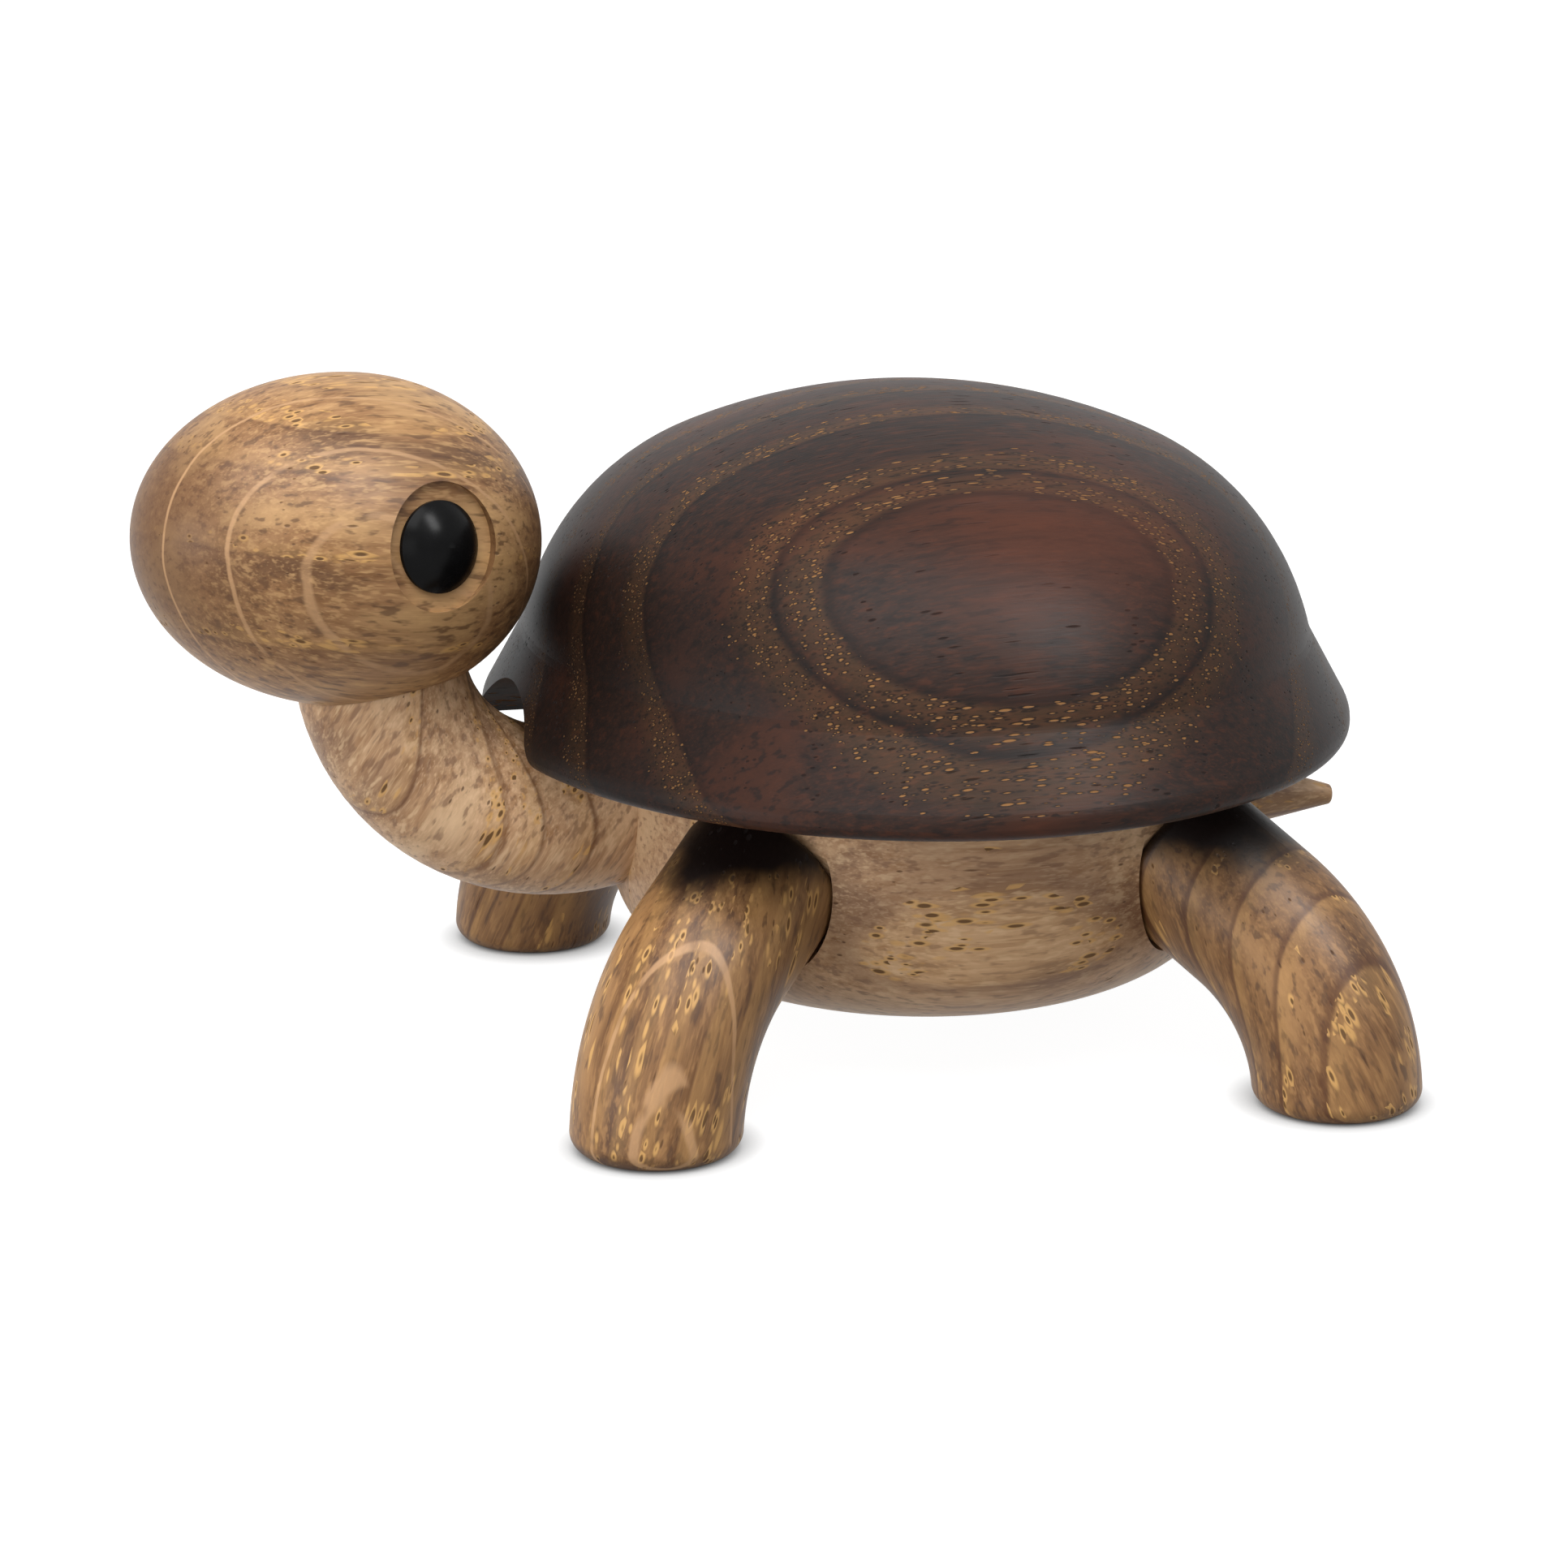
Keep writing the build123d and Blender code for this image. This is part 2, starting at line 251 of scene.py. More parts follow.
# Oak smoked dark before it was oiled: deep brown and quieter in gloss, with its pores
# left golden.
SMOKED_OAK = OakFinish(
    early="#2e1e18",
    late="#19100e",
    line="#080504",
    pale="#44261a",
    dusk="#161110",
    end="#0b0605",
    pore="#080505",
    pore_rim="#93693f",
    ray="#4a3a32",
    glow="#5a3122",
    pores=PoreLook.FILLED_FLECKS,
    pore_width=0.24,
    pore_length=1.25,
    pore_share=1.0,
    stray_width=0.28,
    stray_length=4.5,
    stray_share=0.16,
    streak_width=0.4,
    streak_length=10.0,
    streak_contrast=1.8,
    ring_contrast=0.55,
    band_share=0.1,
    roughness_spread=0.1,
    specular=0.12,
    clouds=9.0,
)

# Beech rod, planed and left bare: pale, close-grained and matt, with brown ray flecks.
BEECH_DOWEL = OakFinish(
    early="#d3ab82",
    late="#c2966c",
    line="#a87b52",
    pale="#dcb992",
    dusk="#b08660",
    end="#b98d64",
    pore="#8c6140",
    pore_rim="#caa077",
    ray="#b98c62",
    pore_width=0.3,
    pore_length=1.6,
    pore_share=0.2,
    stray_share=0.2,
    streak_width=0.4,
    roughness=0.6,
)

# What the oil and the resin leave on the surface bends light as glass does.
CLEAR_IOR = 1.5


@dataclass(frozen=True)
class Marks:
    """Soft marks in the wood, in millimetres along and across the fibres.

    `detail` is how much finer noise lies on them, and `shift` keeps two patterns apart.
    """

    length: float
    width: float
    detail: float = 2.0
    shift: float = 0.0


# Marks that every blank has. Oak's real fibres are about 0.02 mm wide, too fine to show,
# so its threads are drawn eight times as coarse.
RING_SWAY = Marks(22.0, 7.0)
THREADS = Marks(5.0, 0.16, 1.0, 9.0)
FLECKS = Marks(2.2, 0.5, 2.0, 21.0)
PORE_PATCHES = Marks(12.0, 5.0, 1.0, 31.0)
GLOW_EDGE = Marks(9.0, 1.6)
RAY_SWAY = Marks(6.0, 6.0)
RAY_BREAKS = Marks(3.0, 3.0, 1.0, 5.0)
CLOUD_STRETCH = 2.5
CLOUD_SHIFT = 4.0
STREAK_DETAIL = 3.0
MARK_ROUGHNESS = 0.55
MIDDLE = 0.5

# One ring from its start: a sharp dark line, a band of pores in pale early wood, and
# late wood that darkens to the ring's end. The edge is in millimetres.
RING_EDGE = 0.1
EARLY_TONE, HALFWAY_TONE, LATE_TONE = 0.15, 0.2, 0.5
WIDEST_BAND = 0.7
BAND_FADES, BAND_ENDS, BAND_STRENGTH = 0.7, 1.5, 0.8
BASE_TONE = 0.15

# Pores are spots in a grid of cells. Each reach runs from its spot's rim inwards, in
# cells, and the swell makes some spots smaller than others.
CELL_SCATTER = 0.9
SWELL, LEAST_SWELL = 1.1, 0.75
PIT_REACH, PIT_SHARE = (0.36, 0.22), 0.85
RIM_REACH, RIM_SHARE = (0.7, 0.4), 0.7
STRAY_REACH, STRAY_TINT = (0.36, 0.16), 0.7
PATCH_REACH = (0.36, 0.56)
THREAD_HEIGHT = 0.3
PORE_ROUGHNESS = 0.25
RELIEF_STRENGTH = 0.5

# End grain, by how squarely the surface cuts the fibres.
END_REACH = (0.3, 1.0)

# The warm patch on the shell: longer along the fibres, with a frayed edge.
GLOW_STRETCH = (0.6, 1.0, 1.0)
GLOW_FRAY = 6.0
GLOW_FULL = 0.3
GLOW_SHARE = 0.5

# Rays: how far they sway, how they break off, and how strongly they show.
RAY_STRAY = 0.5
RAY_MARGIN = 1.0
BREAK_REACH = (0.3, 0.5)
RAY_SHARE = 0.65

# The dark stain at the legs' roots, with painted shade from the shell's rim above, ends
# in scallops, in millimetres.
ROOT_STAIN_AND_SHADE = "#120907"
SCALLOP_WIDTH = 3.5
SCALLOP_DEPTH = 3.0


@dataclass
class OakMaterial:
    """Builds the shader for one piece of wood from its growth and its finish."""

    name: str
    growth: Growth
    finish: OakFinish
    # Heights where the legs' root stain and its painted shade from the shell set in and
    # are full.
    stain_and_shade: Span | None = None
    tree: bpy.types.NodeTree = field(init=False)

    def build(self) -> bpy.types.Material:
        """Builds the material.

        Returns:
            The material, ready to go into a slot.
        """
        made = start_material(self.name)
        self.tree = made.node_tree
        spot = add_node(self.tree, "TexCoord").outputs["Object"]
        grain = self.along_fibre(spot, self.growth.fibre, self.growth.pith)
        colour, height, rough = self.wood(grain)
        colour = self.with_end_grain(colour)
        if self.growth.ray_radii:
            colour = self.with_rays(spot, colour)
        if self.growth.glow_at:
            colour = self.with_glow(spot, colour)
        # The legs' roots: a dark stain with painted shade from the shell's rim.
        if self.stain_and_shade:
            colour = self.with_stain_and_shade(spot, colour)
        self.surface(colour, height, rough)
        return made

    def along_fibre(self, spot: Signal, fibre: Point, pith: Point) -> Signal:
        """Turns object coordinates to millimetres along and across the fibres.

        Args:
            spot: Object coordinates.
            fibre: The fibres' direction.
            pith: A point on the pith line.

        Returns:
            Along the fibres, then the two ways across, from the pith line.
        """
        along = Vector(fibre).normalized()
        side = along.cross(Vector((0.0, 0.0, 1.0))).normalized()
        turn = Matrix((along, side, along.cross(side)))
        return add_node(
            self.tree,
            "Mapping",
            {
                "Vector": spot,
                "Scale": (1 / MM,) * 3,
                "Rotation": turn.to_euler("XYZ"),
                "Location": -(turn @ on_frame(pith)),
            },
            vector_type="POINT",
        )

    def soft_marks(self, grain: Signal, marks: Marks) -> Signal:
        """Lays soft marks of a real size along the fibres.

        Args:
            grain: Millimetres along and across the fibres.
            marks: The marks' size.

        Returns:
            A value about one half.
        """
        narrow = 1 / marks.width
        scaled = add_node(
            self.tree,
            "Mapping",
            {
                "Vector": grain,
                "Scale": (1 / marks.length, narrow, narrow),
                "Location": (marks.shift,) * 3,
            },
        )
        return add_node(
            self.tree,
            "TexNoise",
            {
                "Vector": scaled,
                "Scale": 1.0,
                "Detail": marks.detail,
                "Roughness": MARK_ROUGHNESS,
            },
        )

    def from_pith(self, grain: Signal, stretch: Point = (0.0, 1.0, 1.0)) -> Signal:
        """Gives the distance from the pith line, or from its point.

        Args:
            grain: Millimetres along and across the fibres.
            stretch: How much each of the three counts. Along the fibres counts nothing
                for the line.

        Returns:
            The distance in millimetres.
        """
        tree = self.tree
        counted = add_node(tree, "VectorMath", (grain, stretch), operation="MULTIPLY")
        length = add_node(tree, "VectorMath", (counted,), operation="LENGTH")
        return length.outputs["Value"]

    def ring_radius(self, grain: Signal) -> Signal:
        """Gives the distance from the pith line, as the rings feel it.

        Args:
            grain: Millimetres along and across the fibres.

        Returns:
            The radius in millimetres, with the trunk's bow and a slow wander in it.
        """
        growth, tree = self.growth, self.tree
        radius = self.from_pith(grain)
        if growth.bow or growth.tilt:
            along = add_node(tree, "SeparateXYZ", (grain,))
            square = add_node(tree, "Math", (along, along), operation="MULTIPLY")
            for run, slope in ((square, growth.bow), (along, growth.tilt)):
                radius = add_node(
                    tree, "Math", (run, slope, radius), operation="MULTIPLY_ADD"
                )
        marks = self.soft_marks(grain, RING_SWAY)
        sway = add_node(tree, "Math", (marks, MIDDLE), operation="SUBTRACT")
        return add_node(
            tree, "Math", (sway, 2 * growth.wander, radius), operation="MULTIPLY_ADD"
        )

    def by_radius(self, radius: Signal, points: Curve, reach: Span) -> Signal:
        """Reads a value off a curve drawn against the radius.

        Args:
            radius: The distance in millimetres.
            points: Radius and value pairs, in order, the values from 0 to 1.
            reach: The lowest and highest radius.

        Returns:
            The value.
        """
        low, high = reach
        share = add_node(self.tree, "MapRange", (radius, low, high))
        drawn = add_node(self.tree, "FloatCurve", {"Value": share})
        line = drawn.mapping.curves[0]
        ends = [(low, points[0][1]), *points, (high, points[-1][1])]
        places = [((at - low) / (high - low), value) for at, value in ends]
        while len(line.points) < len(places):
            line.points.new(MIDDLE, MIDDLE)
        for knot, place in zip(line.points, sorted(places)):
            knot.location = place
            knot.handle_type = "VECTOR"
        drawn.mapping.update()
        return drawn

    def ring_curves(self) -> tuple[Curve, Curve, Curve]:
        """Draws the rings' tone, dark lines and pore bands against the radius.

        Returns:
            The tone, 0 for early wood and 1 for late, the line's strength, and how
            crowded the pores are.
        """
        edge = RING_EDGE
        tone: list[Span] = []
        line: list[Span] = []
        pores: list[Span] = []
        starts = self.growth.all_starts()
        ends = starts[1:] + [self.growth.reach[1]]
        for start, end in zip(starts, ends):
            width = end - start
            band = min(self.growth.pore_band, WIDEST_BAND * width)
            tone += [
                (start + edge, EARLY_TONE),
                (start + width / 2, HALFWAY_TONE),
                (end - width / 4, LATE_TONE),
                (end - edge, 1.0),
            ]
            line += [
                (start - 3 * edge, 0.0),
                (start - edge / 2, 1.0),
                (start + edge / 2, 1.0),
                (start + edge, 0.0),
            ]
            pores += [
                (start, 0.0),
                (start + edge, 1.0),
                (start + BAND_FADES * band, BAND_STRENGTH),
                (start + BAND_ENDS * band, 0.0),
            ]
        return sorted(tone), sorted(line), sorted(pores)

    def tint(
        self,
        colour: Signal | tuple[float, ...],
        pattern: Signal,
        share: float,
        code: str,
        reach: Span | None = None,
    ) -> Signal:
        """Tints the wood where a pattern is strong.

        Args:
            colour: The wood under the tint.
            pattern: Where the tint goes.
            share: How much of the tint shows where it is strongest.
            code: The tint as "#rrggbb".
            reach: The pattern's values where the tint sets in and where it is full. Left
                out, the pattern itself runs from 0 to 1.

        Returns:
            The tinted colour.
        """
        tree = self.tree
        if reach:
            pattern = add_node(
                tree, "MapRange", (pattern, *reach), interpolation_type="SMOOTHSTEP"
            )
        part = add_node(tree, "Math", (pattern, share), operation="MULTIPLY")
        mixed = {0: part, 6: colour, 7: linear(code)}
        return add_node(tree, "Mix", mixed, data_type="RGBA").outputs[2]

    def wood(self, grain: Signal) -> tuple[Signal, Signal, Signal]:
        """Colours the wood by ring, streak, cloud and pore.

        Args:
            grain: Millimetres along and across the fibres.

        Returns:
            The colour, the surface's height from 0 to 1, and the roughness.
        """
        finish, growth, tree = self.finish, self.growth, self.tree
        radius = self.ring_radius(grain)
        tone, line, band = (
            self.by_radius(radius, curve, growth.reach) for curve in self.ring_curves()
        )
        streaks = Marks(finish.streak_length, finish.streak_width, STREAK_DETAIL)
        clouds = Marks(
            CLOUD_STRETCH * finish.clouds, finish.clouds, shift=CLOUD_SHIFT
        )
        streak = self.soft_marks(grain, streaks)
        cloud = self.soft_marks(grain, clouds)
        thread = self.soft_marks(grain, THREADS)
        fleck = self.soft_marks(grain, FLECKS)

        depth = finish.ring_contrast * growth.ring_depth
        shade = add_node(tree, "Math", (tone, depth), operation="MULTIPLY")
        lift = add_node(tree, "Math", (streak, MIDDLE), operation="SUBTRACT")
        shade = add_node(
            tree,
            "Math",
            (lift, finish.streak_contrast, shade),
            operation="MULTIPLY_ADD",
        )
        shade = add_node(
            tree, "Math", (shade, BASE_TONE), operation="ADD", use_clamp=True
        )
        colour = self.tint(linear(finish.early), shade, 1.0, finish.late)
        # Each tint: its pattern, its share and colour, and the pattern's values where it
        # sets in and where it is full.
        for pattern, share, code, reach in (
            (cloud, 0.65, finish.pale, (0.5, 0.66)),
            (cloud, 0.7, finish.dusk, (0.46, 0.3)),
            (thread, 0.4, finish.pale, (0.5, 0.7)),
            (fleck, 0.7, finish.dusk, (0.53, 0.68)),
            (fleck, 0.6, finish.pale, (0.45, 0.3)),
            (band, finish.band_share, finish.pore_rim, (0.0, 1.0)),
            (line, growth.line_strength, finish.line, (0.0, 1.0)),
        ):
            colour = self.tint(colour, pattern, share, code, reach)
        return self.with_pores(grain, colour, band, thread)

    def spots(self, grain: Signal, length: float, width: float) -> tuple[Signal, Signal]:
        """Scatters one spot in each cell of a stretched grid.

        Args:
            grain: Millimetres along and across the fibres.
            length: A cell's length along the fibres.
            width: Its width across them.

        Returns:
            The distance from the spot's middle in cells, longer for a smaller spot, and
            a number drawn for the spot.
        """
        tree = self.tree
        cell = (1 / length, 1 / width, 1 / width)
        scaled = add_node(tree, "VectorMath", (grain, cell), operation="MULTIPLY")
        cells = add_node(
            tree,
            "TexVoronoi",
            {"Vector": scaled, "Scale": 1.0, "Randomness": CELL_SCATTER},
        )
        drawn = add_node(tree, "SeparateColor", (cells.outputs["Color"],))
        swell = add_node(
            tree,
            "Math",
            (drawn.outputs[1], SWELL, LEAST_SWELL),
            operation="MULTIPLY_ADD",
        )
        distance = add_node(
            tree, "Math", (cells.outputs["Distance"], swell), operation="MULTIPLY"
        )
        return distance, drawn.outputs[0]

    def shown_spots(
        self, spots: tuple[Signal, Signal], limit: Signal | float, reach: Span
    ) -> Signal:
        """Shows those spots whose number lies under a limit.

        Args:
            spots: The spots' distance and number.
            limit: The limit, which may differ from place to place.
            reach: The distances of a spot's rim and of its full depth.

        Returns:
            1 inside a spot that shows, and 0 outside.
        """
        distance, number = spots
        near = add_node(
            self.tree, "MapRange", (distance, *reach), interpolation_type="SMOOTHSTEP"
        )
        shown = add_node(self.tree, "Math", (number, limit), operation="LESS_THAN")
        return add_node(self.tree, "Math", (near, shown), operation="MULTIPLY")

    def with_pores(
        self, grain: Signal, colour: Signal, band: Signal, thread: Signal
    ) -> tuple[Signal, Signal, Signal]:
        """Opens the pores: crowded in each ring's band, scattered elsewhere.

        Args:
            grain: Millimetres along and across the fibres.
            colour: The wood between the pores.
            band: Where the pore bands are.
            thread: The finest streaks.

        Returns:
            The colour, the height and the roughness.
        """
        finish, tree = self.finish, self.tree
        limit = add_node(tree, "Math", (band, finish.pore_share), operation="MULTIPLY")
        outer, inner = finish.pore, finish.pore_rim
        if finish.pores is PoreLook.OPEN_PITS:
            outer, inner = inner, outer
            patches = add_node(
                tree,
                "MapRange",
                (self.soft_marks(grain, PORE_PATCHES), *PATCH_REACH),
                interpolation_type="SMOOTHSTEP",
            )
            limit = add_node(tree, "Math", (limit, patches), operation="MULTIPLY")
        crowded = self.spots(grain, finish.pore_length, finish.pore_width)
        scattered = self.spots(grain, finish.stray_length, finish.stray_width)
        rim = self.shown_spots(crowded, limit, RIM_REACH)
        pit = self.shown_spots(crowded, limit, PIT_REACH)
        stray = self.shown_spots(scattered, finish.stray_share, STRAY_REACH)
        colour = self.tint(colour, rim, RIM_SHARE, outer)
        colour = self.tint(colour, pit, PIT_SHARE, inner)
        colour = self.tint(colour, stray, STRAY_TINT, finish.pore)

        holes = add_node(tree, "Math", (pit, stray), operation="MAXIMUM")
        # Pores sink and threads stand proud, and both are duller than the oiled wood.
        height: Signal | float = 1.0
        rough: Signal | float = finish.roughness
        for part, rise, coarser in (
            (holes, -1.0, PORE_ROUGHNESS),
            (thread, THREAD_HEIGHT, finish.roughness_spread),
        ):
            height = add_node(
                tree, "Math", (part, rise, height), operation="MULTIPLY_ADD"
            )
            rough = add_node(
                tree, "Math", (part, coarser, rough), operation="MULTIPLY_ADD"
            )
        return colour, height, rough

    def with_end_grain(self, colour: Signal) -> Signal:
        """Darkens the wood where the surface cuts across the fibres.

        Args:
            colour: The wood under the oil.

        Returns:
            The colour with dark end grain.
        """
        facing = add_node(self.tree, "TexCoord").outputs["Normal"]
        along = Vector(self.growth.fibre).normalized()
        cut = add_node(
            self.tree, "VectorMath", (facing, along), operation="DOT_PRODUCT"
        ).outputs["Value"]
        cut = add_node(self.tree, "Math", (cut,), operation="ABSOLUTE")
        share = self.finish.end_share * self.growth.end_depth
        return self.tint(colour, cut, share, self.finish.end, END_REACH)

    def with_glow(self, spot: Signal, colour: Signal) -> Signal:
        """Warms a soft patch, where the stain went on thin.

        Args:
            spot: Object coordinates.
            colour: The wood under it.

        Returns:
            The colour with the patch.
        """
        growth = self.growth
        grain = self.along_fibre(spot, growth.fibre, growth.glow_at)
        far = self.from_pith(grain, GLOW_STRETCH)
        frayed = add_node(
            self.tree,
            "Math",
            (self.soft_marks(grain, GLOW_EDGE), GLOW_FRAY, far),
            operation="MULTIPLY_ADD",
        )
        edge = growth.glow_size + GLOW_FRAY / 2
        reach = (edge, GLOW_FULL * edge)
        return self.tint(colour, frayed, GLOW_SHARE, self.finish.glow, reach)

    def with_rays(self, spot: Signal, colour: Signal) -> Signal:
        """Draws the thin pale rays that cross the rings.

        Args:
            spot: Object coordinates.
            colour: The wood under them.

        Returns:
            The colour with the rays.
        """
        growth, tree = self.growth, self.tree
        grain = self.along_fibre(spot, growth.ray_fibre, growth.ray_pith)
        marks = self.soft_marks(grain, RAY_SWAY)
        sway = add_node(tree, "Math", (marks, MIDDLE), operation="SUBTRACT")
        radius = add_node(
            tree,
            "Math",
            (sway, RAY_STRAY, self.from_pith(grain)),
            operation="MULTIPLY_ADD",
        )
        half = growth.ray_width / 2
        points: list[Span] = []
        for ray in growth.ray_radii:
            points += [
                (ray - 2 * half, 0.0),
                (ray - half, 1.0),
                (ray + half, 1.0),
                (ray + 2 * half, 0.0),
            ]
        points.sort()
        reach = (points[0][0] - RAY_MARGIN, points[-1][0] + RAY_MARGIN)
        line = self.by_radius(radius, points, reach)
        whole = add_node(
            tree,
            "MapRange",
            (self.soft_marks(grain, RAY_BREAKS), *BREAK_REACH),
            interpolation_type="SMOOTHSTEP",
        )
        line = add_node(tree, "Math", (line, whole), operation="MULTIPLY")
        return self.tint(colour, line, RAY_SHARE, self.finish.ray)

    def with_stain_and_shade(self, spot: Signal, colour: Signal) -> Signal:
        """Darkens the wood above a height, under the shell's rim: partly a dark stain,
        partly painted shade from the shell.

        Args:
            spot: Object coordinates.
            colour: The wood under it.

        Returns:
            The colour with the stain.
        """
        tree = self.tree
        rise = add_node(tree, "SeparateXYZ", (spot,)).outputs["Z"]
        scallop = add_node(
            tree,
            "TexNoise",
            {"Vector": spot, "Scale": 1 / (SCALLOP_WIDTH * MM), "Detail": 2.0},
        )
        ragged = add_node(
            tree,
            "Math",
            (scallop, SCALLOP_DEPTH * MM, rise),
            operation="MULTIPLY_ADD",
        )
        low, high = ((height + SCALLOP_DEPTH / 2) * MM for height in self.stain_and_shade)
        return self.tint(colour, ragged, 1.0, ROOT_STAIN_AND_SHADE, (low, high))

    def surface(self, colour: Signal, height: Signal, rough: Signal) -> None:
        """Ends the material in an oiled satin surface.

        Args:
            colour: The wood's colour.
            height: The surface's height, from 0 to 1.
            rough: The roughness.
        """
        relief = add_node(
            self.tree,
            "Bump",
            {
                "Height": height,
                "Strength": RELIEF_STRENGTH,
                "Distance": self.finish.relief * MM,
            },
        )
        shader = add_node(
            self.tree,
            "BsdfPrincipled",
            {
                "Base Color": colour,
                "Roughness": rough,
                "Normal": relief,
                "IOR": CLEAR_IOR,
                "Specular IOR Level": self.finish.specular,
            },
        )
        add_node(self.tree, "OutputMaterial", (shader,))


@dataclass(frozen=True)
class WornFinish:
    """A finish without grain: its colour and roughness drift a little with fine wear.

    `wear` is the wear marks' size in millimetres, and `plain` holds the shader's even
    values.
    """

    name: str
    dark: str
    light: str
    wear: float
    detail: float
    roughness: Span
    plain: tuple[tuple[str, float], ...]

    def build(self) -> bpy.types.Material:
        """Builds the material.

        Returns:
            The material, ready to go into a slot.
        """
        made = start_material(self.name)
        tree = made.node_tree
        spot = add_node(tree, "TexCoord").outputs["Object"]
        wear = add_node(
            tree,
            "TexNoise",
            {"Vector": spot, "Scale": 1 / (self.wear * MM), "Detail": self.detail},
        )
        colour = add_node(tree, "ValToRGB", (wear,))
        for stop, code in zip(colour.color_ramp.elements, (self.dark, self.light)):
            stop.color = linear(code)
        least, most = self.roughness
        rough = add_node(
            tree, "MapRange", {"Value": wear, "To Min": least, "To Max": most}
        )
        shader = add_node(
            tree,
            "BsdfPrincipled",
            {"Base Color": colour, "Roughness": rough, **dict(self.plain)},
        )
        add_node(tree, "OutputMaterial", (shader,))
        return made


# Black resin, cast and polished: nearly black, with one soft highlight. Its haze is
# really finer than 0.1 mm and is drawn coarser, to show.
POLISHED_RESIN = WornFinish(
    name="polished_black_resin",
    dark="#0a0a0a",
    light="#101011",
    wear=0.8,
    detail=3.0,
    roughness=(0.2, 0.32),
    plain=(("IOR", CLEAR_IOR), ("Specular IOR Level", 0.07)),
)

# Nickel plate, tumbled: a soft bright metal with hair-fine scuffs.
NICKEL_PLATE = WornFinish(
    name="nickel_plate",
    dark="#8d8a83",
    light="#b9b6ae",
    wear=0.25,
    detail=4.0,
    roughness=(0.22, 0.42),
    plain=(("Metallic", 1.0),),
)


def dress(node: str, material: bpy.types.Material) -> None:
    """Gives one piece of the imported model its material.

    Args:
        node: The piece's name.
        material: What it is made of.
    """
    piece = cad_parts[node]
    if not piece.material_slots:
        piece.data.materials.append(material)
    for each in piece.material_slots:
        each.material = material
    log.info("%s: %s", node, material.name)


@dataclass
class Shell:
    """The lift-off shell, turned with its rings as nested ovals on the flank."""

    growth: Growth = Growth(
        fibre=(-0.039, 0.999, 0.034),
        pith=(69.54, -6.07, 81.92),
        ring_starts=(64.0, 65.75, 72.4),
        ring_spacing=6.0,
        reach=(60.0, 145.0),
        pore_band=1.5,
        wander=0.4,
        line_strength=0.45,
        glow_at=(22.5, 4.0, 40.0),
    )
    magnets: tuple[str, ...] = ("shell_magnet_left", "shell_magnet_right")

    def build(self, plated: bpy.types.Material) -> None:
        """Dresses the shell and the magnets in its rim.

        Args:
            plated: The magnets' material.
        """
        made = OakMaterial("smoked_oak_shell", self.growth, SMOKED_OAK)
        dress("shell", made.build())
        for magnet in self.magnets:
            dress(magnet, plated)


@dataclass
class Head:
    """The turned egg of the head and its two beads."""

    growth: Growth = Growth(
        fibre=(0.353, -0.911, 0.150),
        pith=(15.3, -58.5, -33.6),
        ring_starts=(62.0, 67.8, 74.2, 80.0, 82.6, 85.0),
        ring_spacing=4.0,
        reach=(50.0, 95.0),
        pore_band=0.9,
        wander=0.5,
        line_strength=0.15,
        ray_fibre=(0.220, -0.895, -0.387),
        ray_pith=(-16.14, -56.5, 38.86),
        ray_radii=(25.19, 28.95, 31.23),
    )
    eyes: tuple[str, ...] = ("eye_left", "eye_right")

    def build(self) -> None:
        """Dresses the head and its eyes."""
        dress("head", OakMaterial("oiled_oak_head", self.growth, OILED_OAK).build())
        bead = POLISHED_RESIN.build()
        for eye in self.eyes:
            dress(eye, bead)


@dataclass
class Neck:
    """The short bent neck, with its rings curving round its root."""

    growth: Growth = Growth(
        fibre=(0.369, 0.434, 0.821),
        pith=(-35.15, 11.79, 14.18),
        ring_starts=(55.63, 58.23, 60.17, 65.26),
        ring_spacing=4.5,
        reach=(30.0, 90.0),
        pore_band=0.8,
        wander=0.3,
        line_strength=0.7,
        end_depth=0.1,
    )

    def build(self) -> None:
        """Dresses the neck."""
        # The neck's paler oak, partly painted fill light.
        made = OakMaterial("pale_oak_and_painted_fill_neck", self.growth, PALE_OAK_AND_PAINTED_FILL)
        dress("neck", made.build())


@dataclass
class Body:
    """The hollow turned body, its tail and the magnets in its rim."""

    growth: Growth = Growth(
        fibre=(-0.021, 1.0, 0.001),
        pith=(-6.17, 0.23, 18.06),
        ring_starts=(29.25,),
        ring_spacing=4.5,
        reach=(4.0, 42.0),
        pore_band=0.5,
        bow=0.0193,
        tilt=0.0091,
        wander=0.08,
        line_strength=0.35,
        ring_depth=0.3,
        end_depth=0.4,
    )
    tail: Growth = Growth(
        fibre=(0.0, 1.0, 0.0),
        pith=(0.0, 0.0, -20.0),
        ring_starts=(34.0,),
        ring_spacing=3.0,
        reach=(20.0, 50.0),
    )
    magnets: tuple[str, ...] = ("body_magnet_left", "body_magnet_right")

    def build(self, plated: bpy.types.Material) -> None:
        """Dresses the body, the tail and the magnets.

        Args:
            plated: The magnets' material.
        """
        for node, growth in (("body", self.growth), ("tail", self.tail)):
            # The paler oak, partly painted fill light under the shell.
            made = OakMaterial(f"pale_oak_and_painted_fill_{node}", growth, PALE_OAK_AND_PAINTED_FILL)
            dress(node, made.build())
        for magnet in self.magnets:
            dress(magnet, plated)


